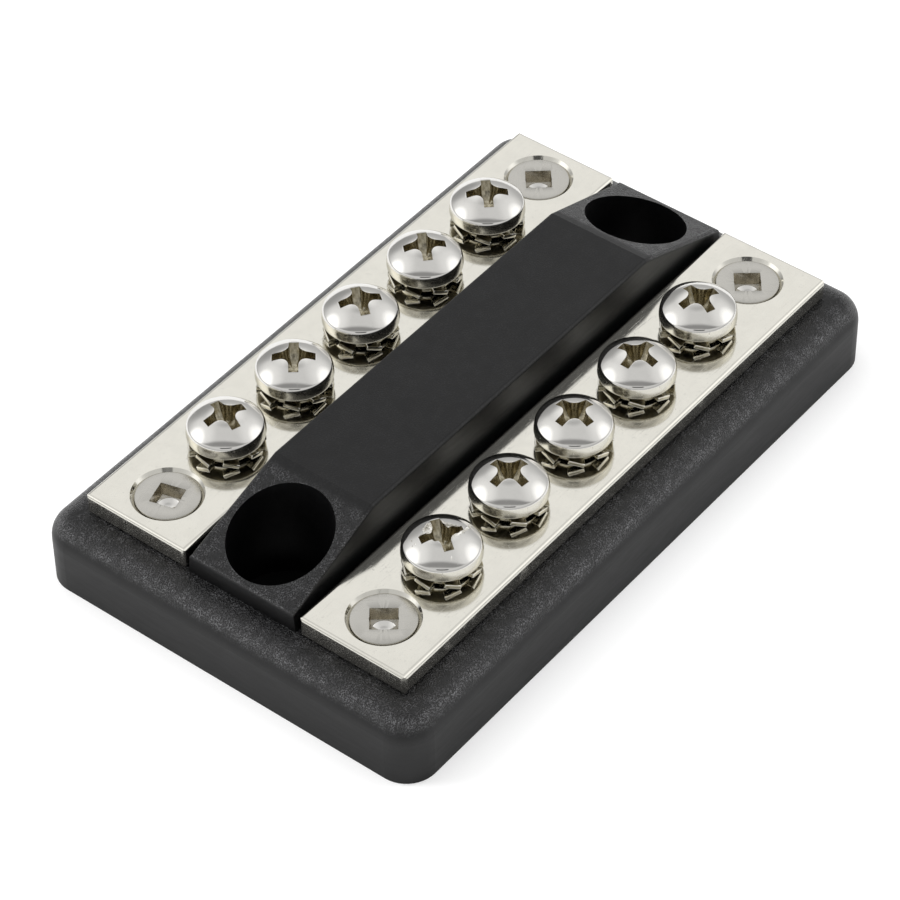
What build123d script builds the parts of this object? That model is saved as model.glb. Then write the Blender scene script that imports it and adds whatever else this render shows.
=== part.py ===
from build123d import *
from math import cos, radians, sin, tan
import os

# Dual bus bar: two plated bars with five terminal screws each, held on one moulded base
# with a raised barrier between them. Millimetres, +Z up, origin at the middle of the
# underside, +X along the bars.

# Terminals: the screws' pattern sets the length of the bars
terminal_count = 5
terminal_pitch = 10.5
last_terminal_to_retainer = 8.9
retainer_to_bar_end = 4.9

# Bars
bar_width = 12.8
bar_thickness = 2.4
bar_corner_radius = 0.5
bar_edge_round = 0.45
bar_end_round = 0.35
bar_to_barrier = 0.45

# Terminal screws, pan head
thread_diameter = 4.17
screw_length = 9.5
screw_tip_bevel = 0.5
head_diameter = 8.0
head_side = 1.3
head_height = 2.85
recess_span = 4.35
recess_wing = 1.0
recess_depth = 2.0
recess_core = 2.1
recess_core_taper = 12.0
thread_clearance = 0.05

# Lock washers with twisted outer teeth
washer_sheet = 0.48
washer_ring_width = 0.95
washer_bore_clearance = 0.08
tooth_count = 8
tooth_width = 1.72
tooth_twist = 21.0
tooth_inset = 0.12
tooth_root_overlap = 0.35
seat_gap = 0.03
screw_stand_off = 0.33

# Base
rim_radius = 3.0
rim_flat = 0.6
corner_blend = 0.4
tip_room = 0.95
pocket_floor = 1.6
pocket_clearance = 0.42

# Barrier between the bars, with a mounting well in each sloped end
well_diameter = 10.7
well_side_wall = 1.3
well_end_wall = 0.65
well_floor = 1.9
mounting_hole = 5.0
barrier_rise = 6.65
barrier_end_rise = 2.25
barrier_slope_run = 12.6
barrier_draft = 4.5
barrier_edge_round = 0.4

# Flush retaining screws and their nuts
retainer_thread = 3.5
retainer_head = 6.6
retainer_land = 0.26
retainer_sink = 0.2
retainer_half_angle = 41.0
retainer_clearance = 0.1
drive_square = 2.75
drive_depth = 1.5
drive_cone = 0.35
nut_flats = 7.94
nut_thickness = 2.78
nut_recess = 0.7
nut_clearance = 0.1
nut_bevel_angle = 30.0
retainer_tip_short = 0.2

# How far each screw and washer happened to stop turning, first one at the -X end
screw_turns = {"left": (22.0, 38.0, 33.0, 35.0, 34.0), "right": (24.0, 84.0, 80.0, 82.0, 78.0)}
washer_turns = {"left": (2.0, 34.5, 15.0, 18.0, 30.5), "right": (8.7, 6.5, 40.0, 35.4, 42.0)}
drive_turns = {"left": (14.0, 30.0), "right": (-38.0, -34.0)}

# Sizes that follow from the ones above
barrier_width = well_diameter + 2 * well_side_wall
row_offset = barrier_width / 2 + bar_to_barrier + bar_width / 2
terminal_x = [(i - (terminal_count - 1) / 2) * terminal_pitch for i in range(terminal_count)]
retainer_x = terminal_x[-1] + last_terminal_to_retainer
bar_length = 2 * (retainer_x + retainer_to_bar_end)
rim_width = rim_radius + rim_flat
base_length = bar_length + 2 * rim_width
base_width = 2 * (row_offset + bar_width / 2 + rim_width)
washer_height = tooth_width * sin(radians(tooth_twist)) + washer_sheet * cos(radians(tooth_twist))
head_seat_above_bar = seat_gap + washer_height + screw_stand_off
screw_reach = screw_length - head_seat_above_bar - bar_thickness
base_height = screw_reach + tip_room + pocket_floor
bar_top = base_height + bar_thickness
head_seat = bar_top + head_seat_above_bar
pocket_diameter = thread_diameter + 2 * pocket_clearance
well_x = bar_length / 2 - well_end_wall - well_diameter / 2
retainer_hole = retainer_thread + 2 * retainer_clearance
retainer_slope = tan(radians(retainer_half_angle))
sink_diameter = retainer_head + 2 * (retainer_sink + retainer_land) * retainer_slope
nut_pocket_flats = nut_flats + 2 * nut_clearance
nut_pocket_depth = nut_recess + nut_thickness
rows = {"left": row_offset, "right": -row_offset}

# Barrier: side profile with sloped ends, then drafted flanks
with BuildPart() as barrier:
    with BuildSketch(Plane.XZ):
        with BuildLine():
            Polyline(
                (-bar_length / 2, base_height - rim_radius),
                (bar_length / 2, base_height - rim_radius),
                (bar_length / 2, base_height + barrier_end_rise),
                (bar_length / 2 - barrier_slope_run, base_height + barrier_rise),
                (-bar_length / 2 + barrier_slope_run, base_height + barrier_rise),
                (-bar_length / 2, base_height + barrier_end_rise),
                close=True,
            )
        make_face()
    extrude(amount=barrier_width, both=True)
    top_half_width = barrier_width / 2 - barrier_rise * tan(radians(barrier_draft))
    foot_half_width = barrier_width / 2 + rim_radius * tan(radians(barrier_draft))
    with BuildSketch(Plane.YZ):
        with BuildLine():
            Polyline(
                (-foot_half_width, base_height - rim_radius),
                (foot_half_width, base_height - rim_radius),
                (top_half_width, base_height + barrier_rise),
                (-top_half_width, base_height + barrier_rise),
                close=True,
            )
        make_face()
    extrude(amount=bar_length, both=True, mode=Mode.INTERSECT)
    upper = barrier.faces().filter_by(lambda f: f.normal_at().Z > 0.5)
    across = upper.edges().filter_by(Axis.Y).filter_by(lambda e: abs(e.center().X) < bar_length / 2 - 1e-3)
    outline = upper.edges() - across
    fillet(outline, barrier_edge_round)

# Base: one moulding with a broad rounded rim, the barrier, wells, pockets and nut seats
with BuildPart() as base:
    with BuildSketch():
        RectangleRounded(base_length, base_width, rim_radius + corner_blend)
    extrude(amount=base_height)
    fillet(base.faces().sort_by(Axis.Z)[-1].edges(), rim_radius)
    add(barrier.part)
    # mounting wells, sunk straight down through the slopes, and their screw holes
    with BuildSketch(Plane.XY.offset(well_floor)):
        with Locations((-well_x, 0), (well_x, 0)):
            Circle(well_diameter / 2)
    extrude(amount=base_height + barrier_rise, mode=Mode.SUBTRACT)
    with BuildSketch():
        with Locations((-well_x, 0), (well_x, 0)):
            Circle(mounting_hole / 2)
    extrude(amount=well_floor, mode=Mode.SUBTRACT)
    # blind pockets that clear the ends of the terminal screws
    with BuildSketch(Plane.XY.offset(pocket_floor)):
        with Locations(*[(x, y) for y in rows.values() for x in terminal_x]):
            Circle(pocket_diameter / 2)
    extrude(amount=base_height - pocket_floor, mode=Mode.SUBTRACT)
    # holes and hexagonal seats for the retaining screws' nuts
    with BuildSketch():
        with Locations(*[(x, y) for y in rows.values() for x in (-retainer_x, retainer_x)]):
            Circle(retainer_hole / 2)
    extrude(amount=base_height, mode=Mode.SUBTRACT)
    with BuildSketch():
        with Locations(*[(x, y) for y in rows.values() for x in (-retainer_x, retainer_x)]):
            RegularPolygon(nut_pocket_flats / 2, 6, major_radius=False)
    extrude(amount=nut_pocket_depth, mode=Mode.SUBTRACT)

# Bar: strip with rounded long edges, its ends eased, with tapped terminal holes and a
# countersunk hole at each end
with BuildPart() as bar:
    with BuildSketch(Plane.YZ):
        with Locations((0, bar_thickness / 2)):
            RectangleRounded(bar_width, bar_thickness, bar_edge_round)
    extrude(amount=bar_length / 2, both=True)
    with BuildSketch(Plane.XZ):
        with Locations((0, bar_thickness / 2)):
            RectangleRounded(bar_length, bar_thickness, bar_end_round)
    extrude(amount=bar_width, both=True, mode=Mode.INTERSECT)
    with BuildSketch():
        RectangleRounded(bar_length, bar_width, bar_corner_radius)
    extrude(amount=bar_thickness, mode=Mode.INTERSECT)
    with BuildSketch():
        with Locations(*[(x, 0) for x in terminal_x]):
            Circle(thread_diameter / 2 + thread_clearance)
    extrude(amount=bar_thickness, mode=Mode.SUBTRACT)
    with Locations((-retainer_x, 0, bar_thickness), (retainer_x, 0, bar_thickness)):
        CounterSinkHole(
            retainer_hole / 2, sink_diameter / 2, counter_sink_angle=2 * retainer_half_angle
        )

# Terminal screw: domed pan head with a cross recess, origin at the underside of the head
with BuildPart() as screw:
    with BuildSketch(Plane.XZ):
        with BuildLine():
            Polyline(
                (0, -screw_length),
                (thread_diameter / 2 - screw_tip_bevel, -screw_length),
                (thread_diameter / 2, -screw_length + screw_tip_bevel),
                (thread_diameter / 2, 0),
                (head_diameter / 2, 0),
                (head_diameter / 2, head_side),
            )
            dome_rise = head_height - head_side
            dome_radius = ((head_diameter / 2) ** 2 + dome_rise**2) / (2 * dome_rise)
            RadiusArc((head_diameter / 2, head_side), (0, head_height), -dome_radius)
            Line((0, head_height), (0, -screw_length))
        make_face()
    revolve(axis=Axis.Z)
    # two crossed wings that shorten downwards, and a tapered core that widens their roots
    wing_floor = recess_span - 1.15 * recess_depth
    for upright in (Plane.XZ, Plane.YZ):
        with BuildSketch(upright):
            with BuildLine():
                Polyline(
                    (-recess_span / 2, head_height),
                    (-recess_span / 2, head_height - 0.45 * recess_depth),
                    (-wing_floor / 2, head_height - recess_depth),
                    (wing_floor / 2, head_height - recess_depth),
                    (recess_span / 2, head_height - 0.45 * recess_depth),
                    (recess_span / 2, head_height),
                    close=True,
                )
            make_face()
        extrude(amount=recess_wing / 2, both=True, mode=Mode.SUBTRACT)
    with BuildSketch(Plane.XY.offset(head_height)):
        RegularPolygon(recess_core / 2, 4, major_radius=False)
    extrude(amount=-recess_depth, taper=recess_core_taper, mode=Mode.SUBTRACT)

# Lock washer: flat ring at mid height with a straight notch between each two outer teeth,
# the teeth twisted to bite above and below. It lies on the bar, with its screw not yet tight.
with BuildPart() as washer:
    washer_bore = thread_diameter + 2 * washer_bore_clearance
    ring_radius = washer_bore / 2 + washer_ring_width
    tooth_tip = head_diameter / 2 - tooth_inset
    tooth_length = tooth_tip - ring_radius + tooth_root_overlap
    with BuildSketch(Plane.XY.offset(-washer_sheet / 2)):
        RegularPolygon(ring_radius, tooth_count, major_radius=False)
    extrude(amount=washer_sheet)
    for tooth in range(tooth_count):
        turn = 360 * tooth / tooth_count
        root = Plane.XY.rotated((0, 0, turn)).offset(0)
        blade = Plane(
            origin=root.from_local_coords(Vector(tooth_tip - tooth_length, 0, 0)),
            x_dir=root.from_local_coords(
                Vector(0, cos(radians(tooth_twist)), -sin(radians(tooth_twist)))
            ),
            z_dir=root.x_dir,
        )
        with BuildSketch(blade):
            Rectangle(tooth_width, washer_sheet)
        extrude(amount=tooth_length)
    with BuildSketch(Plane.XY.offset(-washer_height)):
        Circle(washer_bore / 2)
    extrude(amount=2 * washer_height, mode=Mode.SUBTRACT)

# Retaining screw: flat head just below the bar's face, square drive, origin at its face
retainer_length = bar_thickness + base_height - retainer_sink - nut_recess - retainer_tip_short
with BuildPart() as retainer:
    head_depth = retainer_land + (retainer_head - retainer_thread) / 2 / retainer_slope
    with BuildSketch(Plane.XZ):
        with BuildLine():
            Polyline(
                (0, 0),
                (retainer_head / 2 - seat_gap, 0),
                (retainer_head / 2 - seat_gap, -retainer_land),
                (retainer_thread / 2, -head_depth + seat_gap / retainer_slope),
                (retainer_thread / 2, -retainer_length),
                (0, -retainer_length),
                close=True,
            )
        make_face()
    revolve(axis=Axis.Z)
    with BuildSketch():
        Rectangle(drive_square, drive_square)
    extrude(amount=-drive_depth, taper=2, mode=Mode.SUBTRACT)
    with Locations((0, 0, -drive_depth - drive_cone / 2)):
        Cone(0.2 * drive_square, 0.42 * drive_square, drive_cone, mode=Mode.SUBTRACT)

# Nut, flat side up in its seat, corners bevelled on the open side
with BuildPart() as nut:
    with BuildSketch():
        RegularPolygon(nut_flats / 2, 6, major_radius=False)
    extrude(amount=nut_thickness)
    nut_corner = nut_flats / 2 / cos(radians(30))
    bevel_rise = (nut_corner - nut_flats / 2) * tan(radians(nut_bevel_angle))
    with BuildSketch(Plane.XZ):
        with BuildLine():
            Polyline(
                (0, 0),
                (nut_flats / 2, 0),
                (nut_corner, bevel_rise),
                (nut_corner, nut_thickness),
                (0, nut_thickness),
                close=True,
            )
        make_face()
    revolve(axis=Axis.Z, mode=Mode.INTERSECT)
    with BuildSketch():
        Circle(retainer_thread / 2 + thread_clearance)
    extrude(amount=nut_thickness, mode=Mode.SUBTRACT)

os.makedirs("parts", exist_ok=True)

base.part.label = "base"
export_step(base.part, "parts/base.step")

for side, y in rows.items():
    with BuildPart() as placed_bar:
        with Locations((0, y, base_height)):
            add(bar.part)
    placed_bar.part.label = f"bus_bar_{side}"
    export_step(placed_bar.part, f"parts/bus_bar_{side}.step")
    for i, x in enumerate(terminal_x):
        with BuildPart() as placed_washer:
            washer_middle = bar_top + seat_gap + washer_height / 2
            turn = washer_turns[side][i % len(washer_turns[side])]
            with Locations(Location((x, y, washer_middle), (0, 0, turn))):
                add(washer.part)
        placed_washer.part.label = f"lock_washer_{side}_{i + 1}"
        export_step(placed_washer.part, f"parts/lock_washer_{side}_{i + 1}.step")
        with BuildPart() as placed_screw:
            turn = screw_turns[side][i % len(screw_turns[side])]
            with Locations(Location((x, y, head_seat), (0, 0, turn))):
                add(screw.part)
        placed_screw.part.label = f"terminal_screw_{side}_{i + 1}"
        export_step(placed_screw.part, f"parts/terminal_screw_{side}_{i + 1}.step")
    for i, x in enumerate((-retainer_x, retainer_x)):
        with BuildPart() as placed_retainer:
            with Locations(Location((x, y, bar_top - retainer_sink), (0, 0, drive_turns[side][i]))):
                add(retainer.part)
        placed_retainer.part.label = f"retaining_screw_{side}_{i + 1}"
        export_step(placed_retainer.part, f"parts/retaining_screw_{side}_{i + 1}.step")
        with BuildPart() as placed_nut:
            with Locations((x, y, nut_recess)):
                add(nut.part)
        placed_nut.part.label = f"retaining_nut_{side}_{i + 1}"
        export_step(placed_nut.part, f"parts/retaining_nut_{side}_{i + 1}.step")
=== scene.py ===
import math
import random

import bmesh
import bpy
from mathutils import Matrix, Vector


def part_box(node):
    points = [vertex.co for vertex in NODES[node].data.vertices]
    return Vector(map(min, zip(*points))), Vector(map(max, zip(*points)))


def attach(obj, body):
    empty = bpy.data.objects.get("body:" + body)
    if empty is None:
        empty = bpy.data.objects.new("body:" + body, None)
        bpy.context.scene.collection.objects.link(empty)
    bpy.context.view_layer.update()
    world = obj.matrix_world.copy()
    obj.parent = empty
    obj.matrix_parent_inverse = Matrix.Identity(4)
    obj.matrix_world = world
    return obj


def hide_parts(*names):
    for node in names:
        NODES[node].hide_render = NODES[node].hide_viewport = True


# A bus bar dressed for its picture. The base, the bars and the nuts are the frame's own solids with a
# material each. The terminal screws, lock washers and retaining screws are finer models in their place.

MM = 0.001

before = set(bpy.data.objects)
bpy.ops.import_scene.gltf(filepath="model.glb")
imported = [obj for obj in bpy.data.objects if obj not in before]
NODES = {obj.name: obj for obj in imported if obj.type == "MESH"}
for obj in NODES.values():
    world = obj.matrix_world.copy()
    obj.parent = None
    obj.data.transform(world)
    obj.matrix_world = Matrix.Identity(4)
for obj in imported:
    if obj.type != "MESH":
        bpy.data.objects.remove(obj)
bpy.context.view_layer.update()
BASE_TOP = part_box("base")[1].z

SIDES = ("left", "right")
TERMINALS = 5
RETAINERS = 2

# Terminal screw, in mm and degrees
HEAD_R = 4.0
HEAD_HEIGHT = 2.85
HEAD_LIP = 0.24
HEAD_UPRIGHT = 0.05
HEAD_SIDE_R = 4.2
HEAD_SIDE_LEAN = 12.0
HEAD_CORNER_R = 0.65
HEAD_SIDE_TOP = 1.25
RECESS_REACH = 2.6
THREAD_R = 4.17 / 2
THREAD_DEPTH = 0.47
THREAD_FLANKS = 2.6
THREAD_PITCH = 25.4 / 32
TIP_START = 0.62
TIP_RUN = 0.7
SCREW_LENGTH = 9.5
POINTS_PER_ROW = 32
ROWS_PER_TURN = 6

# Lock washer, in mm and degrees
TEETH = 8
WASHER_SHEET = 0.48
WASHER_BORE_R = THREAD_R + 0.08
WASHER_RING_R = WASHER_BORE_R + 0.95
TOOTH_ROOT_R = WASHER_RING_R - 0.35
TOOTH_TIP_R = HEAD_R - 0.12
TOOTH_WIDTH = 1.72
TOOTH_FLARE = 0.06
TOOTH_TWIST = -21.0
TOOTH_STATIONS = 6

# Retaining screw, in mm and degrees
RETAINER_HEAD_R = 3.27
RETAINER_LAND = 0.26
RETAINER_EDGE_R = 0.08
RETAINER_THREAD_R = 1.75
RETAINER_LENGTH = 9.525
RETAINER_TIP = 0.3
RETAINER_CONE = 41.0
DRIVE_SQUARE = 2.75
DRIVE_DEPTH = 1.5
DRIVE_TAPER = 0.93
DRIVE_REACH = 1.9
DRILL_R = 1.22
DRILL_MOUTH_R = 1.46
DRILL_MOUTH_DEPTH = 0.45
DRILL_POINT = 0.45
ABOVE_FACE = 0.12

# How far each piece happened to stop turning, first one at the -X end
SCREW_TURNS = {"left": (71.0, 39.0, 54.0, 48.0, 43.0), "right": (57.0, 83.0, 82.0, 89.0, 70.0)}
WASHER_TURNS = {"left": (2.0, 34.5, 15.0, 18.0, 30.5), "right": (8.7, 6.5, 40.0, 35.4, 42.0)}
DRIVE_TURNS = {"left": (16.0, 40.0), "right": (-52.0, -52.0)}
WORN_SCREW = "right_1"


# Meshes


def link(obj):
    """Put a new object into the scene."""
    bpy.context.scene.collection.objects.link(obj)
    return obj


def mesh_object(name, verts, faces):
    """An object from points in mm, with its doubles merged and its faces turned outwards."""
    mesh = bpy.data.meshes.new(name)
    mesh.from_pydata([Vector(v) * MM for v in verts], [], faces)
    bm = bmesh.new()
    bm.from_mesh(mesh)
    bmesh.ops.remove_doubles(bm, verts=bm.verts, dist=1e-7)
    bmesh.ops.recalc_face_normals(bm, faces=bm.faces)
    bm.to_mesh(mesh)
    bm.free()
    return link(bpy.data.objects.new(name, mesh))


def drop(obj):
    """Delete an object and its mesh."""
    mesh = obj.data
    bpy.data.objects.remove(obj)
    bpy.data.meshes.remove(mesh)


def apply_modifiers(obj):
    """Make what the modifiers show the object's own mesh."""
    graph = bpy.context.evaluated_depsgraph_get()
    mesh = bpy.data.meshes.new_from_object(obj.evaluated_get(graph))
    old = obj.data
    obj.modifiers.clear()
    obj.data = mesh
    bpy.data.meshes.remove(old)


def subtract(obj, cutter):
    """Cut one object out of another; a painted cutter leaves its material on the cut faces."""
    cut = obj.modifiers.new("cut", "BOOLEAN")
    cut.operation = "DIFFERENCE"
    cut.solver = "EXACT"
    if cutter.data.materials:
        cut.material_mode = "TRANSFER"
    cut.object = cutter
    apply_modifiers(obj)
    drop(cutter)


def soften(obj, width, angle, edge_material=-1):
    """Round the crisp edges a little, then shade smooth between them."""
    bevel = obj.modifiers.new("soft", "BEVEL")
    bevel.width = width * MM
    bevel.segments = 2
    bevel.material = edge_material
    bevel.limit_method = "ANGLE"
    bevel.angle_limit = math.radians(angle)
    apply_modifiers(obj)
    smooth(obj, angle)


def smooth(obj, angle):
    """Shade smooth, apart from edges that turn by more than the angle."""
    mesh = obj.data
    mesh.polygons.foreach_set("use_smooth", [True] * len(mesh.polygons))
    mesh.set_sharp_from_angle(angle=math.radians(angle))


def absorb(obj, other):
    """Take the faces of the other object into this one."""
    bm = bmesh.new()
    bm.from_mesh(obj.data)
    bm.from_mesh(other.data)
    bm.to_mesh(obj.data)
    bm.free()
    drop(other)


def keep_largest_shell(obj):
    """Drop the chips that cuts have left loose."""
    bm = bmesh.new()
    bm.from_mesh(obj.data)
    unseen, shells = set(bm.verts), []
    while unseen:
        front = [unseen.pop()]
        shell = list(front)
        while front:
            vert = front.pop()
            beside = [edge.other_vert(vert) for edge in vert.link_edges]
            fresh = [other for other in beside if other in unseen]
            unseen.difference_update(fresh)
            front.extend(fresh)
            shell.extend(fresh)
        shells.append(shell)
    chips = [vert for shell in sorted(shells, key=len)[:-1] for vert in shell]
    bmesh.ops.delete(bm, geom=chips, context="VERTS")
    bm.to_mesh(obj.data)
    bm.free()


def arc(r0, z0, radius, start, end, steps):
    """Points on an arc about (r0, z0), from one angle to another in degrees."""
    angles = [math.radians(start + (end - start) * k / steps) for k in range(steps + 1)]
    return [(r0 + radius * math.cos(a), z0 + radius * math.sin(a)) for a in angles]


def revolve(name, profile, steps):
    """A solid of revolution about Z, its profile a list of (r, z) in mm."""
    verts, faces, rings = [], [], []
    for r, z in profile:
        count = 1 if r < 1e-6 else steps
        rings.append([len(verts) + i for i in range(count)])
        for i in range(count):
            turn = 2 * math.pi * i / steps
            verts.append((r * math.cos(turn), r * math.sin(turn), z))
    for below, above in zip(rings, rings[1:]):
        for i in range(steps):
            j = (i + 1) % steps
            corners = [(below, i), (below, j), (above, j), (above, i)]
            corners = list(dict.fromkeys(ring[at % len(ring)] for ring, at in corners))
            if len(corners) > 2:
                faces.append(corners)
    return mesh_object(name, verts, faces)


def loft(name, outlines):
    """A closed solid through outlines of equal length, each a list of (x, y, z) in mm."""
    n = len(outlines[0])
    verts = [point for outline in outlines for point in outline]
    faces = []
    for k in range(len(outlines) - 1):
        for i in range(n):
            j = (i + 1) % n
            faces.append((k * n + i, k * n + j, (k + 1) * n + j, (k + 1) * n + i))
    faces.append(tuple(reversed(range(n))))
    faces.append(tuple(range((len(outlines) - 1) * n, len(outlines) * n)))
    return mesh_object(name, verts, faces)


# Node trees


class Tree:
    """Short calls that build a node tree. A value is a number or another node's output."""

    def __init__(self, owner):
        owner.use_nodes = True
        self.owner = owner
        self.nodes = owner.node_tree.nodes
        self.links = owner.node_tree.links

    def feed(self, socket, value):
        """Set a socket to a number, or link another node's output to it."""
        if isinstance(value, bpy.types.NodeSocket):
            self.links.new(value, socket)
        else:
            socket.default_value = value

    def noise(self, where, scale, detail, rough):
        """Soft noise from 0 to 1, its scale in waves to the metre."""
        node = self.nodes.new("ShaderNodeTexNoise")
        node.inputs["Scale"].default_value = scale
        node.inputs["Detail"].default_value = detail
        node.inputs["Roughness"].default_value = rough
        self.feed(node.inputs["Vector"], where)
        return node.outputs["Fac"]

    def places(self, scale=(1, 1, 1), turn=(0, 0, 0)):
        """Object coordinates, stretched and turned in degrees."""
        coords = self.nodes.new("ShaderNodeTexCoord")
        mapping = self.nodes.new("ShaderNodeMapping")
        mapping.inputs["Scale"].default_value = scale
        mapping.inputs["Rotation"].default_value = [math.radians(a) for a in turn]
        self.links.new(coords.outputs["Object"], mapping.inputs["Vector"])
        return mapping.outputs["Vector"]

    def facing_up(self):
        """How far the surface faces up: 1 for a level top, 0 for a wall."""
        geometry = self.nodes.new("ShaderNodeNewGeometry")
        return self.dot(geometry.outputs["Normal"], (0, 0, 1))

    def ramp(self, fac, *stops):
        """Blend from colour to colour, or from grey to grey, at the stops given as (place, value)."""
        node = self.nodes.new("ShaderNodeValToRGB")
        elements = node.color_ramp.elements
        while len(elements) < len(stops):
            elements.new(0.5)
        for element, (position, value) in zip(elements, stops):
            element.position = position
            element.color = (*value, 1) if isinstance(value, tuple) else (value, value, value, 1)
        self.feed(node.inputs["Fac"], fac)
        return node.outputs["Color"]

    def math(self, operation, a, b=0.0):
        """One sum on two values."""
        node = self.nodes.new("ShaderNodeMath")
        node.operation = operation
        self.feed(node.inputs[0], a)
        self.feed(node.inputs[1], b)
        return node.outputs[0]

    def product(self, *factors):
        """All values multiplied."""
        total = factors[0]
        for factor in factors[1:]:
            total = self.math("MULTIPLY", total, factor)
        return total

    def total(self, *terms):
        """All values added."""
        result = terms[0]
        for term in terms[1:]:
            result = self.math("ADD", result, term)
        return result

    def dot(self, vector, axis):
        """How far a vector points along an axis."""
        node = self.nodes.new("ShaderNodeVectorMath")
        node.operation = "DOT_PRODUCT"
        self.feed(node.inputs[0], vector)
        node.inputs[1].default_value = axis
        return node.outputs["Value"]

    def step(self, value, start, end, low=0.0, high=1.0):
        """A soft step from low to high while the value goes from start to end."""
        node = self.nodes.new("ShaderNodeMapRange")
        node.interpolation_type = "SMOOTHSTEP"
        for name, limit in (("From Min", start), ("From Max", end), ("To Min", low), ("To Max", high)):
            node.inputs[name].default_value = limit
        self.feed(node.inputs["Value"], value)
        return node.outputs["Result"]

    def bump(self, height, strength, distance, over=None):
        """A relief of the given depth in metres, which may lie over another one."""
        node = self.nodes.new("ShaderNodeBump")
        self.feed(node.inputs["Strength"], strength)
        node.inputs["Distance"].default_value = distance
        self.feed(node.inputs["Height"], height)
        if over is not None:
            self.feed(node.inputs["Normal"], over)
        return node.outputs["Normal"]


class Material(Tree):
    """A new material, with its shader's first settings as keywords."""

    def __init__(self, name, **shader):
        super().__init__(bpy.data.materials.new(name))
        self.shader = self.nodes["Principled BSDF"]
        for key, value in shader.items():
            self.set(key.replace("_", " "), value)

    def set(self, socket, value):
        """Give one of the shader's sockets a value."""
        self.feed(self.shader.inputs[socket], value)


# Materials


def moulded_plastic():
    """Black moulding: grain on the rounded and sloping faces, glinting through its bump and through
    painted highlight specks in its colour, smoother walls and ridge top.
    """
    t = Material("moulded_plastic")
    where = t.places()
    facing_up = t.facing_up()
    height = t.dot(where, (0, 0, 1))
    off_ridge_top = t.step(height, BASE_TOP - 0.6 * MM, BASE_TOP - 0.2 * MM, 1.0, 0.12)
    off_walls = t.step(facing_up, 0.3, 0.7, 0.03, 1.0)
    above_walls = t.step(height, 4.0 * MM, 5.5 * MM)
    grainy = t.product(off_walls, off_ridge_top, above_walls)

    grain = t.noise(where, 7000, 1.0, 0.5)
    drifts = t.step(t.noise(where, 900, 2.0, 0.5), 0.35, 0.65, 0.25, 1.0)
    # Painted highlight: pale grey specks painted into the colour of the grain as glints, strongest on
    # the crest of the rounding and fainter on level tops
    crest = t.step(facing_up, 0.65, 0.96, 1.0, 0.4)
    painted_glints = t.product(t.step(grain, 0.44, 0.68), drifts, grainy, crest)
    cloud = t.product(t.noise(where, 240, 3.0, 0.5), 0.01)
    black, grey = (0.0007, 0.0007, 0.0009), (0.12, 0.12, 0.125)
    t.set("Base Color", t.ramp(t.total(painted_glints, cloud), (0.0, black), (1.0, grey)))

    plain_sheen = t.step(facing_up, 0.9, 1.0, 0.43, 0.33)
    t.set("Specular IOR Level", t.total(plain_sheen, t.product(grainy, crest, 0.3)))
    streaks = t.noise(t.places((1, 1, 7)), 330, 3.0, 0.55)
    t.set("Roughness", t.total(t.ramp(streaks, (0.3, 0.38), (0.7, 0.45)), t.product(grainy, -0.2)))
    fine = t.bump(grain, grainy, 0.16 * MM)
    t.set("Normal", t.bump(streaks, 0.12, 0.04 * MM, over=fine))
    return t.owner


def plated(name, colour, rough, cloudy=0.03, ripple=0.1, scratches=0.0, spotty=0.3, rougher_sides=0.0):
    """Bright plate: cloudy colour, small specks, a faint ripple, hairline scratches and duller sides."""
    t = Material(name, Metallic=1.0)
    where = t.places()
    cloud = t.noise(where, 520, 5.0, 0.65)
    specks = t.step(t.noise(where, 2600, 2.0, 0.5), 0.66, 0.74)
    hairs = [
        t.step(t.noise(t.places((1, 30, 1), (0, 0, turn)), 260, 2.0, 0.5), 0.66, 0.72)
        for turn in (20, 75, 140)
    ]
    hair = t.product(t.total(*hairs), scratches)

    dull = tuple(c * (1 - 2.2 * cloudy) for c in colour)
    spotted = t.math("SUBTRACT", cloud, t.product(specks, spotty))
    t.set("Base Color", t.ramp(spotted, (0.25, dull), (0.62, colour)))

    roughness = [
        t.ramp(cloud, (0.3, rough * 0.75), (0.7, rough * 1.25)),
        t.product(specks, rough * spotty * 3),
        t.product(hair, 0.25),
    ]
    if rougher_sides:
        roughness.append(t.step(t.facing_up(), 0.2, 0.8, rougher_sides, 0.0))
    t.set("Roughness", t.total(*roughness))

    height = t.total(t.noise(where, 380, 3.0, 0.5), t.product(hair, -0.6), t.product(specks, -spotty))
    t.set("Normal", t.bump(height, ripple, 0.02 * MM))
    return t.owner


def shaded_punched_recess(name, dark, light, rough):
    """Recess walls: a colour darker than the plate as painted shade, and punch streaks in the bump whose
    light and dark bands in the colour are painted reflection.
    """
    t = Material(name, Metallic=1.0)
    flutes_and_reflection_bands = t.noise(t.places((1, 1, 0.08)), 2300, 2.0, 0.6)
    patches = t.noise(t.places(), 1500, 3.0, 0.5)
    # Painted shade and painted reflection: dark to light bands across the recess walls
    t.set("Base Color", t.ramp(flutes_and_reflection_bands, (0.3, dark), (0.7, light)))
    t.set("Roughness", t.ramp(patches, (0.3, rough * 0.75), (0.7, rough * 1.3)))
    t.set("Normal", t.bump(flutes_and_reflection_bands, 0.5, 0.06 * MM))
    return t.owner


def torn_metal():
    """Bare metal where a driver slipped: pale, rough and streaked."""
    t = Material("torn_metal", Metallic=0.55)
    tears = t.noise(t.places((1, 1, 1), (0, 0, 30)), 3200, 4.0, 0.7)
    t.set("Base Color", t.ramp(tears, (0.35, (0.42, 0.39, 0.32)), (0.62, (0.93, 0.92, 0.88))))
    t.set("Roughness", t.ramp(tears, (0.3, 0.28), (0.7, 0.5)))
    t.set("Normal", t.bump(tears, 0.6, 0.04 * MM))
    return t.owner


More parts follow.
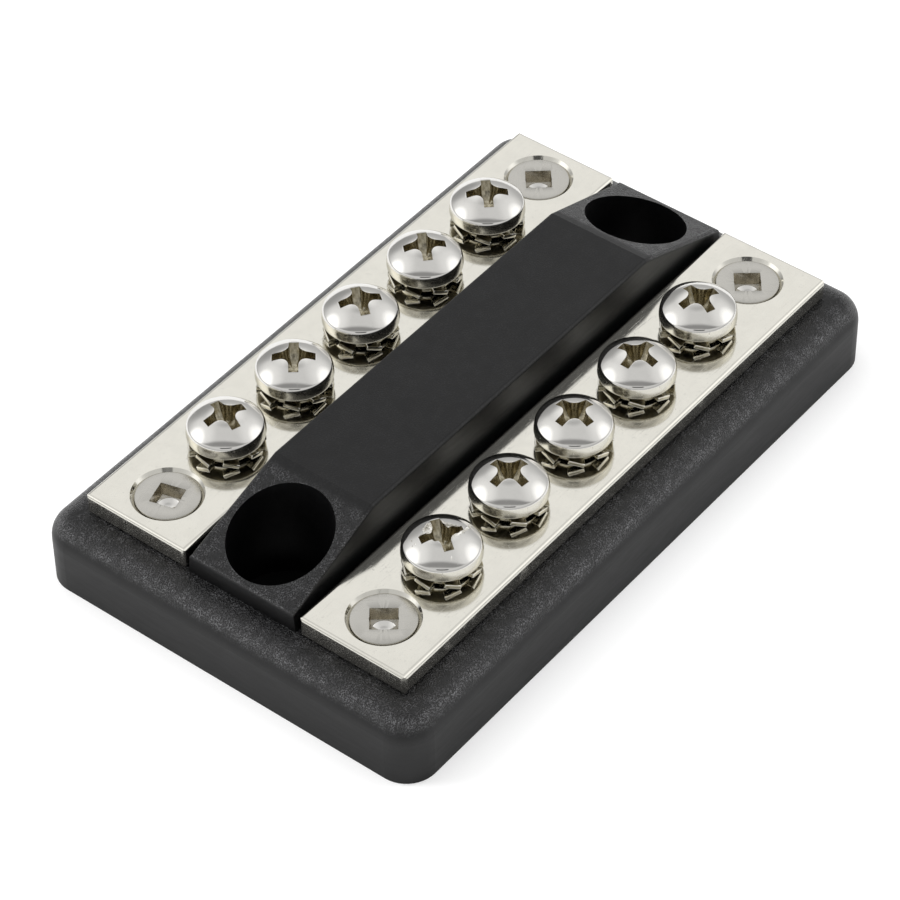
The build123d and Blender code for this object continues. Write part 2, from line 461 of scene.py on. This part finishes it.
PLASTIC = moulded_plastic()
BAR_PLATE = plated(
    "bar_plate", (0.80, 0.78, 0.71), 0.1, cloudy=0.03, ripple=0.14, scratches=0.5, rougher_sides=0.03
)
SCREW_PLATE = plated("screw_plate", (0.86, 0.845, 0.81), 0.06, cloudy=0.02, ripple=0.12, scratches=0.3)
# Painted shade: the band round the head's side is a darker, warmer copy of the crown's plate, and
# rougher as well
SHADED_SCREW_SIDE = plated("shaded_screw_side", (0.80, 0.775, 0.69), 0.22, cloudy=0.06, ripple=0.3)
# Painted shade and painted highlight: the washer's faces take a darker olive copy of the plate, its
# rounded tooth edges a pale copy
SHADED_WASHER_PLATE = plated("washer_plate", (0.60, 0.565, 0.46), 0.16, cloudy=0.05, ripple=0.2)
LIT_WASHER_EDGE = plated("lit_washer_edge", (0.90, 0.88, 0.81), 0.1, cloudy=0.05, ripple=0.2)
RETAINER_FACE = plated(
    "retainer_face", (0.57, 0.555, 0.515), 0.24, cloudy=0.03, ripple=0.1, scratches=0.4, spotty=0.08
)
NUT_PLATE = plated("nut_plate", (0.58, 0.57, 0.53), 0.3, cloudy=0.05, ripple=0.3)
CROSS_RECESS = shaded_punched_recess("cross_recess", (0.26, 0.23, 0.155), (0.62, 0.57, 0.44), 0.24)
SQUARE_RECESS = shaded_punched_recess("square_recess", (0.44, 0.41, 0.34), (0.58, 0.545, 0.47), 0.26)
# Painted shade: the head's underside over the washer is a dark brown copy of the plate
SHADED_UNDERSIDE = plated("head_underside_shade", (0.34, 0.31, 0.23), 0.4, cloudy=0.05, ripple=0.2)
TORN_METAL = torn_metal()

# The materials of each modelled piece, and the indexes of those after the first
TERMINAL_SCREW_PAINTS = (SCREW_PLATE, CROSS_RECESS, SHADED_UNDERSIDE, TORN_METAL, SHADED_SCREW_SIDE)
RECESS, UNDER, TORN, ROUND_SIDE = 1, 2, 3, 4
WASHER_PAINTS = (SHADED_WASHER_PLATE, LIT_WASHER_EDGE)
LIT_TOOTH_EDGE = 1
RETAINER_PAINTS = (RETAINER_FACE, SQUARE_RECESS, SCREW_PLATE)
DRIVE_WALL, DRIVE_FLOOR = 1, 2

# The material of each of the frame's own solids, by the start of its name
NODE_PAINTS = {
    "base": PLASTIC,
    "bus_bar": BAR_PLATE,
    "lock_washer": SHADED_WASHER_PLATE,
    "terminal_screw": SCREW_PLATE,
    "retaining_screw": RETAINER_FACE,
    "retaining_nut": NUT_PLATE,
}


def paint(obj, *materials):
    """Give an object these materials and no others."""
    obj.data.materials.clear()
    for material in materials:
        obj.data.materials.append(material)


for name, node in NODES.items():
    paint(node, next(material for start, material in NODE_PAINTS.items() if name.startswith(start)))


# Terminal screw


def head_profile():
    """Pan head: rounded lip, slightly leaning side, tight corner and broad crown."""
    inside_shank = THREAD_R - 0.4
    side = arc(HEAD_R - HEAD_SIDE_R, HEAD_LIP + HEAD_UPRIGHT, HEAD_SIDE_R, 0, HEAD_SIDE_LEAN, 8)
    lean = math.radians(HEAD_SIDE_LEAN)
    corner_r = side[-1][0] - HEAD_CORNER_R * math.cos(lean)
    corner_z = side[-1][1] - HEAD_CORNER_R * math.sin(lean)
    rise = HEAD_HEIGHT - corner_z
    crown = (corner_r**2 + rise**2 - HEAD_CORNER_R**2) / (2 * (rise - HEAD_CORNER_R))
    meet = math.degrees(math.acos(corner_r / (crown - HEAD_CORNER_R)))
    return (
        [(0, 0), (inside_shank, 0)]
        + arc(HEAD_R - HEAD_LIP, HEAD_LIP, HEAD_LIP, -90, 0, 5)
        + side
        + arc(corner_r, corner_z, HEAD_CORNER_R, HEAD_SIDE_LEAN, meet, 6)[1:]
        + arc(0, HEAD_HEIGHT - crown, crown, meet, 90, 20)[1:-1]
        + [(0, HEAD_HEIGHT)]
    )


def crown_height(r):
    """Height of the head's surface over the underside, in mm, out to the corner."""
    profile = [(pr, pz) for pr, pz in head_profile() if pz > 1.0]
    for (r1, z1), (r0, z0) in zip(profile, profile[1:]):
        if r0 <= r <= r1:
            return z0 + (z1 - z0) * (r - r0) / (r1 - r0)
    return profile[0][1]


def on_crown(x, y):
    """A point on the head's rounded top, in mm."""
    return Vector((x, y, crown_height(math.hypot(x, y))))


def cross_outline(span, wing, inner, z):
    """Four wings of one width, with a rounded lobe of metal between each two."""
    corner = wing / 2 + inner
    quarter = [(span / 2, -wing / 2), (span / 2, wing / 2)] + arc(corner, corner, inner, 270, 180, 8)
    points = []
    for turn in range(4):
        c, s = round(math.cos(turn * math.pi / 2)), round(math.sin(turn * math.pi / 2))
        points.extend((x * c - y * s, x * s + y * c, z) for x, y in quarter)
    return points


def recess_cutter(name):
    """The cross recess: wings that shorten downwards as the punch tapers."""
    # Height over the crown's top, span over two wings, width of a wing, radius of the lobes
    sections = (
        (-2.15, 1.30, 0.50, 0.12),
        (-1.90, 2.50, 0.80, 0.42),
        (-1.30, 3.50, 0.92, 0.68),
        (-0.48, 4.35, 1.00, 0.90),
        (0.30, 5.12, 1.04, 0.95),
    )
    return loft(name, [cross_outline(*sizes, HEAD_HEIGHT + z) for z, *sizes in sections])


def threaded_shank(name):
    """Right-hand thread: rings of points whose radius follows the helix, with a tapered tip."""
    steps = POINTS_PER_ROW
    rows = round(SCREW_LENGTH / THREAD_PITCH * ROWS_PER_TURN)
    verts, faces = [], []
    for row in range(rows + 1):
        z = -SCREW_LENGTH * row / rows
        taper = min(1.0, TIP_START + (SCREW_LENGTH + z) / TIP_RUN)
        for step in range(steps):
            phase = (z / THREAD_PITCH - step / steps) % 1.0
            r = (THREAD_R - THREAD_DEPTH * min(1.0, abs(phase - 0.5) * THREAD_FLANKS)) * taper
            turn = 2 * math.pi * step / steps
            verts.append((r * math.cos(turn), r * math.sin(turn), z))
    for row in range(rows):
        here, below = row * steps, (row + 1) * steps
        for step in range(steps):
            beside = (step + 1) % steps
            faces.append((here + step, below + step, below + beside, here + beside))
    faces.append(tuple(range(steps)))
    faces.append(tuple(range(rows * steps, (rows + 1) * steps)))
    return mesh_object(name, verts, faces)


def mark_head(obj):
    """Pick the material of the head's faces by where they lie."""
    for face in obj.data.polygons:
        x, y, z = face.center / MM
        r = math.hypot(x, y)
        if r < RECESS_REACH and 0.05 < z < crown_height(r) - 0.05:
            face.material_index = RECESS
        elif abs(z) < 0.01:
            face.material_index = UNDER
        elif r > HEAD_R - 0.5 and z < HEAD_SIDE_TOP:
            face.material_index = ROUND_SIDE


def torn_hollow(screw, name, spot, size, turn, chance):
    """Tear a rough hollow out of the crown with a jittered, flattened ball."""
    mesh = bpy.data.meshes.new(name)
    bm = bmesh.new()
    bmesh.ops.create_icosphere(bm, subdivisions=3, radius=MM)
    for vert in bm.verts:
        vert.co *= chance.uniform(0.82, 1.12)
    bm.to_mesh(mesh)
    bm.free()
    shift = Matrix.Translation(on_crown(*spot) * MM)
    mesh.transform(shift @ Matrix.Rotation(math.radians(turn), 4, "Z") @ Matrix.Diagonal((*size, 1)))
    ball = link(bpy.data.objects.new(name, mesh))
    paint(ball, TORN_METAL)
    subtract(screw, ball)


def torn_curl(screw, name, path, width, height, chance):
    """Raise a rough curl of metal along a path on the crown."""
    parts = 4
    section = ((-0.5, -0.6), (-0.35, 0.5), (0.0, 1.0), (0.3, 0.6), (0.5, -0.6))
    spots = []
    for (x0, y0), (x1, y1) in zip(path, path[1:]):
        spots += [(x0 + (x1 - x0) * k / parts, y0 + (y1 - y0) * k / parts) for k in range(parts)]
    spots.append(path[-1])
    outlines = []
    for k, (x, y) in enumerate(spots):
        (xa, ya), (xb, yb) = spots[max(k - 1, 0)], spots[min(k + 1, len(spots) - 1)]
        across = Vector((ya - yb, xb - xa, 0)).normalized()
        swell = math.sin(math.pi * (k + 0.5) / len(spots)) ** 0.6 * chance.uniform(0.7, 1.2)
        outline = []
        for u, v in section:
            point = on_crown(x, y) + across * (u * width * swell)
            point.z += v * height * swell * chance.uniform(0.7, 1.3)
            outline.append(tuple(point))
        outlines.append(outline)
    curl = loft(name, outlines)
    for face in curl.data.polygons:
        face.material_index = TORN
    absorb(screw, curl)


def driver_damage(screw):
    """Where a driver slipped: chewed corners, nicks, a long scratch and the curls that it raised."""
    chance = random.Random(7)
    # Place on the crown, half sizes along, across and down, turn
    hollows = (
        ((0.85, 1.05), (0.72, 0.50, 0.40), 40),
        ((1.45, 0.72), (0.45, 0.28, 0.28), 10),
        ((-0.62, 0.80), (0.38, 0.28, 0.30), 60),
        ((0.72, -0.90), (0.50, 0.30, 0.26), -50),
        ((0.50, 2.85), (0.09, 0.09, 0.06), 0),
        ((-0.10, 2.70), (0.10, 0.07, 0.06), 30),
        ((-0.12, 2.98), (0.07, 0.09, 0.05), 0),
    )
    for k, (spot, size, turn) in enumerate(hollows):
        torn_hollow(screw, f"hollow_{k}", spot, size, turn, chance)
    keep_largest_shell(screw)
    # Path on the crown, width, height
    curls = (
        (((-0.95, -0.85), (-0.60, -1.55), (-0.10, -2.30), (0.45, -2.85), (0.80, -3.15)), 0.40, 0.15),
        (((-1.05, -0.70), (-0.75, -1.00), (-0.60, -1.45)), 0.26, 0.18),
        (((0.50, 2.10), (0.62, 1.65), (0.95, 1.40), (1.50, 1.15), (1.95, 0.70)), 0.16, 0.12),
        (((-2.72, -0.05), (-3.12, 0.08)), 0.12, 0.05),
        (((1.70, -0.52), (1.10, -0.72), (0.75, -1.10), (0.52, -1.60), (0.45, -2.00)), 0.18, 0.13),
    )
    for k, (path, width, height) in enumerate(curls):
        torn_curl(screw, f"curl_{k}", path, width, height, chance)


def make_screw(name, wear=None):
    """Terminal screw, its origin in the middle of the head's underside."""
    screw = revolve(name, head_profile(), 120)
    subtract(screw, recess_cutter(name + "_recess"))
    soften(screw, 0.06, 30)
    paint(screw, *TERMINAL_SCREW_PAINTS)
    mark_head(screw)
    if wear:
        wear(screw)
    shank = threaded_shank(name + "_shank")
    smooth(shank, 40)
    absorb(screw, shank)
    return screw


# Lock washer


def tooth_section(r, width, twist):
    """Corners of a tooth's section at one radius, as points in mm."""
    c, s = math.cos(math.radians(twist)), math.sin(math.radians(twist))
    corners = []
    for u, v in ((-1, -1), (1, -1), (1, 1), (-1, 1)):
        across, up = u * width / 2, v * WASHER_SHEET / 2
        corners.append((r, across * c - up * s, across * s + up * c))
    return corners


def make_washer(name):
    """Lock washer about its own middle: a flat ring with twisted outer teeth."""
    inner, outer, half = WASHER_BORE_R, WASHER_RING_R, WASHER_SHEET / 2
    profile = [(inner, -half), (outer, -half), (outer, half), (inner, half), (inner, -half)]
    washer = revolve(name, profile, 64)
    tooth = []
    for k in range(TOOTH_STATIONS + 1):
        out = k / TOOTH_STATIONS
        r = TOOTH_ROOT_R + (TOOTH_TIP_R - TOOTH_ROOT_R) * out
        width = TOOTH_WIDTH * (1 - TOOTH_FLARE + TOOTH_FLARE * out)
        tooth.append(tooth_section(r, width, TOOTH_TWIST * min(1.0, 0.35 + out * 1.6)))
    for k in range(TEETH):
        turn = Matrix.Rotation(2 * math.pi * k / TEETH, 4, "Z")
        turned = [[turn @ Vector(point) for point in section] for section in tooth]
        absorb(washer, loft(f"{name}_tooth_{k}", turned))
    paint(washer, *WASHER_PAINTS)
    # The rounded tooth edges take the pale copy: painted highlight along them
    soften(washer, 0.09, 40, edge_material=LIT_TOOTH_EDGE)
    return washer


# Retaining screw


def square_cutter(name):
    """The square drive, a little narrower at its floor."""
    half = DRIVE_SQUARE / 2
    sections = ((half * DRIVE_TAPER, -DRIVE_DEPTH), (half, -0.05), (half, 0.3))
    return loft(name, [[(-h, -h, z), (h, -h, z), (h, h, z), (-h, h, z)] for h, z in sections])


def drill_cutter(name):
    """The drilled hole under the drive: a shallow point, and a mouth that opens towards the face."""
    profile = (
        (0, -DRIVE_DEPTH - 0.05 - DRILL_POINT),
        (DRILL_R, -DRIVE_DEPTH - 0.05),
        (DRILL_R, -DRILL_MOUTH_DEPTH),
        (DRILL_MOUTH_R, ABOVE_FACE),
        (0, ABOVE_FACE),
    )
    return revolve(name, profile, 64)


def make_retainer(name):
    """Flush retaining screw, its origin in the middle of its face."""
    slope = math.tan(math.radians(RETAINER_CONE))
    cone = RETAINER_LAND + (RETAINER_HEAD_R - RETAINER_THREAD_R) / slope
    profile = [
        (0, -RETAINER_LENGTH),
        (RETAINER_THREAD_R - RETAINER_TIP, -RETAINER_LENGTH),
        (RETAINER_THREAD_R, RETAINER_TIP - RETAINER_LENGTH),
        (RETAINER_THREAD_R, -cone),
        (RETAINER_HEAD_R, -RETAINER_LAND),
    ]
    profile += arc(RETAINER_HEAD_R - RETAINER_EDGE_R, -RETAINER_EDGE_R, RETAINER_EDGE_R, 0, 90, 3)
    profile += [(0, 0)]
    screw = revolve(name, profile, 96)
    subtract(screw, square_cutter(name + "_square"))
    subtract(screw, drill_cutter(name + "_drill"))
    soften(screw, 0.035, 35)
    paint(screw, *RETAINER_PAINTS)
    for face in screw.data.polygons:
        x, y, z = face.center / MM
        if math.hypot(x, y) < DRIVE_REACH and -2.2 < z < -0.06:
            face.material_index = DRIVE_FLOOR if face.normal.z > 0.5 else DRIVE_WALL
    return screw


# Placing the pieces


def middle(node):
    """The middle of a solid's box."""
    low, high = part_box(node)
    return (low + high) / 2


def place(model, name, axis, z, turn, body, node):
    """Put a copy of a model on an axis at a height, on a body, in place of one of the frame's solids."""
    obj = link(bpy.data.objects.new(name, model.data.copy()))
    turned = Matrix.Rotation(math.radians(turn), 4, "Z")
    obj.matrix_world = Matrix.Translation((axis.x, axis.y, z)) @ turned
    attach(obj, body)
    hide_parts(node)


def place_terminal(tag, screw, screw_turn, washer, washer_turn):
    """One terminal screw and the lock washer under its head."""
    node = f"terminal_screw_{tag}"
    axis = middle(node)
    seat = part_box(node)[0].z + SCREW_LENGTH * MM
    place(screw, f"screw_{tag}", axis, seat, screw_turn, f"screw_{tag}", node)
    node = f"lock_washer_{tag}"
    sheet = middle(node).z
    place(washer, f"washer_{tag}", axis, sheet, washer_turn, f"washer_{tag}", node)


def place_retainer(tag, retainer, turn):
    """One retaining screw, flush in its bar."""
    node = f"retaining_screw_{tag}"
    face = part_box(node)[1].z
    place(retainer, f"retainer_{tag}", middle(node), face, turn, "base", node)


screw_model = make_screw("screw_model")
worn_screw_model = make_screw("worn_screw_model", driver_damage)
washer_model = make_washer("washer_model")
retainer_model = make_retainer("retainer_model")

for side in SIDES:
    for i in range(TERMINALS):
        tag = f"{side}_{i + 1}"
        model = worn_screw_model if tag == WORN_SCREW else screw_model
        place_terminal(tag, model, SCREW_TURNS[side][i], washer_model, WASHER_TURNS[side][i])
    for i in range(RETAINERS):
        place_retainer(f"{side}_{i + 1}", retainer_model, DRIVE_TURNS[side][i])
for model in (screw_model, worn_screw_model, washer_model, retainer_model):
    drop(model)


# Floor

FLOOR_HALF = 1.5
FLOOR_GAP = 0.05 * MM
FLOOR_TONE = (0.66, 0.66, 0.66, 1)
FLOOR_WHITENING = 0.37


def pale_floor():
    """A plain floor just under the part, whitened for the camera alone, so that it keeps the shadow."""
    mesh = bpy.data.meshes.new("floor")
    bm = bmesh.new()
    bmesh.ops.create_grid(bm, x_segments=1, y_segments=1, size=FLOOR_HALF)
    bm.to_mesh(mesh)
    bm.free()
    floor = link(bpy.data.objects.new("floor", mesh))
    floor.location.z = -FLOOR_GAP
    t = Material("floor_white", Roughness=0.9, Specular_IOR_Level=0.1, Base_Color=FLOOR_TONE)
    paths = t.nodes.new("ShaderNodeLightPath")
    glow = t.nodes.new("ShaderNodeEmission")
    t.feed(glow.inputs["Strength"], t.product(paths.outputs["Is Camera Ray"], FLOOR_WHITENING))
    added = t.nodes.new("ShaderNodeAddShader")
    t.links.new(t.shader.outputs[0], added.inputs[0])
    t.links.new(glow.outputs[0], added.inputs[1])
    t.links.new(added.outputs[0], t.nodes["Material Output"].inputs["Surface"])
    paint(floor, t.owner)


# Studio: bearings run counter-clockwise from +X, heights up from the horizon, in degrees

SKY_LEVEL = 0.65

# Round patches that the bright metal reflects: bearing, height, full within, gone beyond, strength
SKY_PATCHES = (
    (42, 46, 8, 32, 0.32),  # the pale wall opposite the camera
    (322, 33, 4, 42, 0.20),  # the light on the right, its glow and its core
    (320, 28, 6, 25, 0.45),
    (124, 35, 4, 42, 0.25),  # the light on the left, its glow and its core
    (124, 29, 8, 25, 0.65),
    (39, 66, 3, 20, -0.22),  # the gap over the pale wall
    (64, 15, 4, 24, -0.22),  # a darker corner low down
)

# Dark panels: bearing, height, width, tall, softness of the sides and of the top and bottom, level left
BOOM = (216, 63.5, 84, 12, (20, 5), 0.43)
CAMERA_PANEL = (219, 44.5, 25, 15, (2, 1.5), 0.12)

# Softboxes: name, bearing, height, size in metres, power in watts
SOFTBOX_AWAY = 0.7
SOFTBOXES = (
    ("light_a", 325, 40, 0.35, 1.6),
    ("light_b", 120, 42, 0.35, 3.0),
    ("light_top", 39, 75, 0.6, 1.5),
)


def direction(bearing, height):
    """The unit vector towards a bearing and a height."""
    b, h = math.radians(bearing), math.radians(height)
    return Vector((math.cos(b) * math.cos(h), math.sin(b) * math.cos(h), math.sin(h)))


def glow_patch(sky, ray, bearing, height, inner, outer):
    """A round soft light: full within the inner angle, gone beyond the outer one."""
    near = sky.dot(ray, direction(bearing, height))
    return sky.step(near, math.cos(math.radians(outer)), math.cos(math.radians(inner)))


def dark_panel(sky, ray, bearing, height, width, tall, edges, left):
    """A flat panel square to its bearing, with soft edges: 1 around it, and the level left on it."""
    ahead, beside = direction(bearing, height), direction(bearing + 90, 0)
    front = sky.math("MAXIMUM", sky.dot(ray, ahead), 0.05)
    mask = []
    for axis, size, edge in ((beside, width, edges[0]), (ahead.cross(beside), tall, edges[1])):
        away = sky.math("DIVIDE", sky.math("ABSOLUTE", sky.dot(ray, axis)), front)
        outside, inside = math.radians(size / 2 + edge), math.radians(size / 2 - edge)
        mask.append(sky.step(away, math.tan(outside), math.tan(inside)))
    return sky.step(sky.product(*mask), 0, 1, 1.0, left)


def studio():
    """The surroundings: plain white to the camera, soft lights and dark panels to everything else."""
    world = bpy.data.worlds.new("studio")
    bpy.context.scene.world = world
    sky = Tree(world)
    ray = sky.nodes.new("ShaderNodeTexCoord").outputs["Generated"]
    glows = [sky.product(glow_patch(sky, ray, *patch), strength) for *patch, strength in SKY_PATCHES]
    dimmer_low_down = sky.step(sky.dot(ray, (0, 0, 1)), 0.05, 0.55, 0.72, 1.0)
    level = sky.product(
        sky.total(SKY_LEVEL, *glows),
        dimmer_low_down,
        dark_panel(sky, ray, *BOOM),
        dark_panel(sky, ray, *CAMERA_PANEL),
    )
    paths = sky.nodes.new("ShaderNodeLightPath")
    mix = sky.nodes.new("ShaderNodeMix")
    mix.data_type = "FLOAT"
    sky.feed(mix.inputs["Factor"], paths.outputs["Is Camera Ray"])
    sky.feed(mix.inputs["A"], level)
    mix.inputs["B"].default_value = 1.0
    background = sky.nodes["Background"]
    background.inputs["Color"].default_value = (1, 1, 1, 1)
    sky.feed(background.inputs["Strength"], mix.outputs["Result"])


def softbox(name, bearing, height, size, power):
    """An area light, kept out of mirror reflections, where the studio's patches show."""
    light = bpy.data.lights.new(name, "AREA")
    light.energy = power
    light.size = size
    obj = link(bpy.data.objects.new(name, light))
    obj.location = direction(bearing, height) * SOFTBOX_AWAY
    obj.rotation_euler = obj.location.to_track_quat("Z", "Y").to_euler()
    obj.visible_glossy = False


pale_floor()
studio()
for settings in SOFTBOXES:
    softbox(*settings)


# Camera, at the photograph's place and viewing angle

CAMERA_RIGHT = Vector((0.616824, -0.787006, -0.012236))
CAMERA_UP = Vector((0.55518, 0.424003, 0.715539))
CAMERA_BACK = Vector((-0.557946, -0.448155, 0.698465))
CAMERA_PLACE = Vector((-212.88, -168.807, 266.601)) * MM
FOCAL_PIXELS = 3726.74
PICTURE_PIXELS = 900.0

cam = bpy.data.cameras.new("camera")
cam.sensor_fit = "HORIZONTAL"
cam.sensor_width = 36.0
cam.lens = FOCAL_PIXELS * cam.sensor_width / PICTURE_PIXELS
cam.clip_start = 0.01
cam.clip_end = 10.0
camera = link(bpy.data.objects.new("camera", cam))
axes = Matrix((CAMERA_RIGHT, CAMERA_UP, CAMERA_BACK)).transposed().to_4x4()
camera.matrix_world = Matrix.Translation(CAMERA_PLACE) @ axes
bpy.context.scene.camera = camera

bpy.context.scene.view_settings.view_transform = "Standard"
